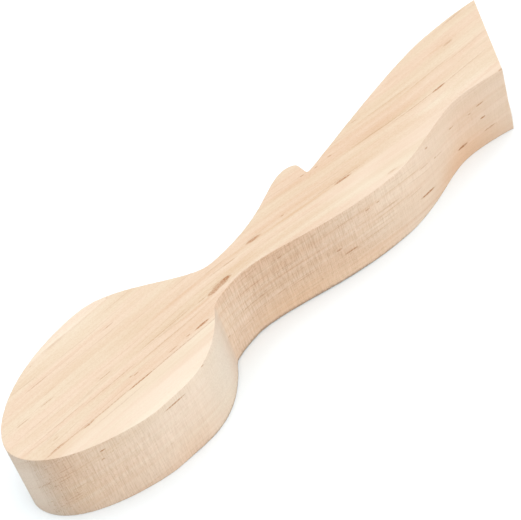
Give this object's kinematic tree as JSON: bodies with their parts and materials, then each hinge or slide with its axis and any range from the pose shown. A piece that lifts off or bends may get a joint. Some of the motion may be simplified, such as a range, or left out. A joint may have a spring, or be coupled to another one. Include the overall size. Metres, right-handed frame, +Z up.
{
  "type": "spoon carving blank",
  "caption": "Solid wood blank band-sawn to the plan of a spoon with a shaped handle, ready for carving the bowl and handle with a knife.",
  "frame": {"origin": "on the underside, at the middle of the bounding box's bottom face", "axes": "+X along the blank from the tip of the bowl to the tail of the handle, +Z up through the board's thickness, +Y to the side of the handle with the crest and step"},
  "size_m": [0.2452, 0.0578, 0.028],
  "materials": {
    "wood": "raw, planed on top and underside, band-sawn on the sides"
  },
  "bodies": {
    "root": {"spoon_blank": "wood"}
  },
  "joints": []
}
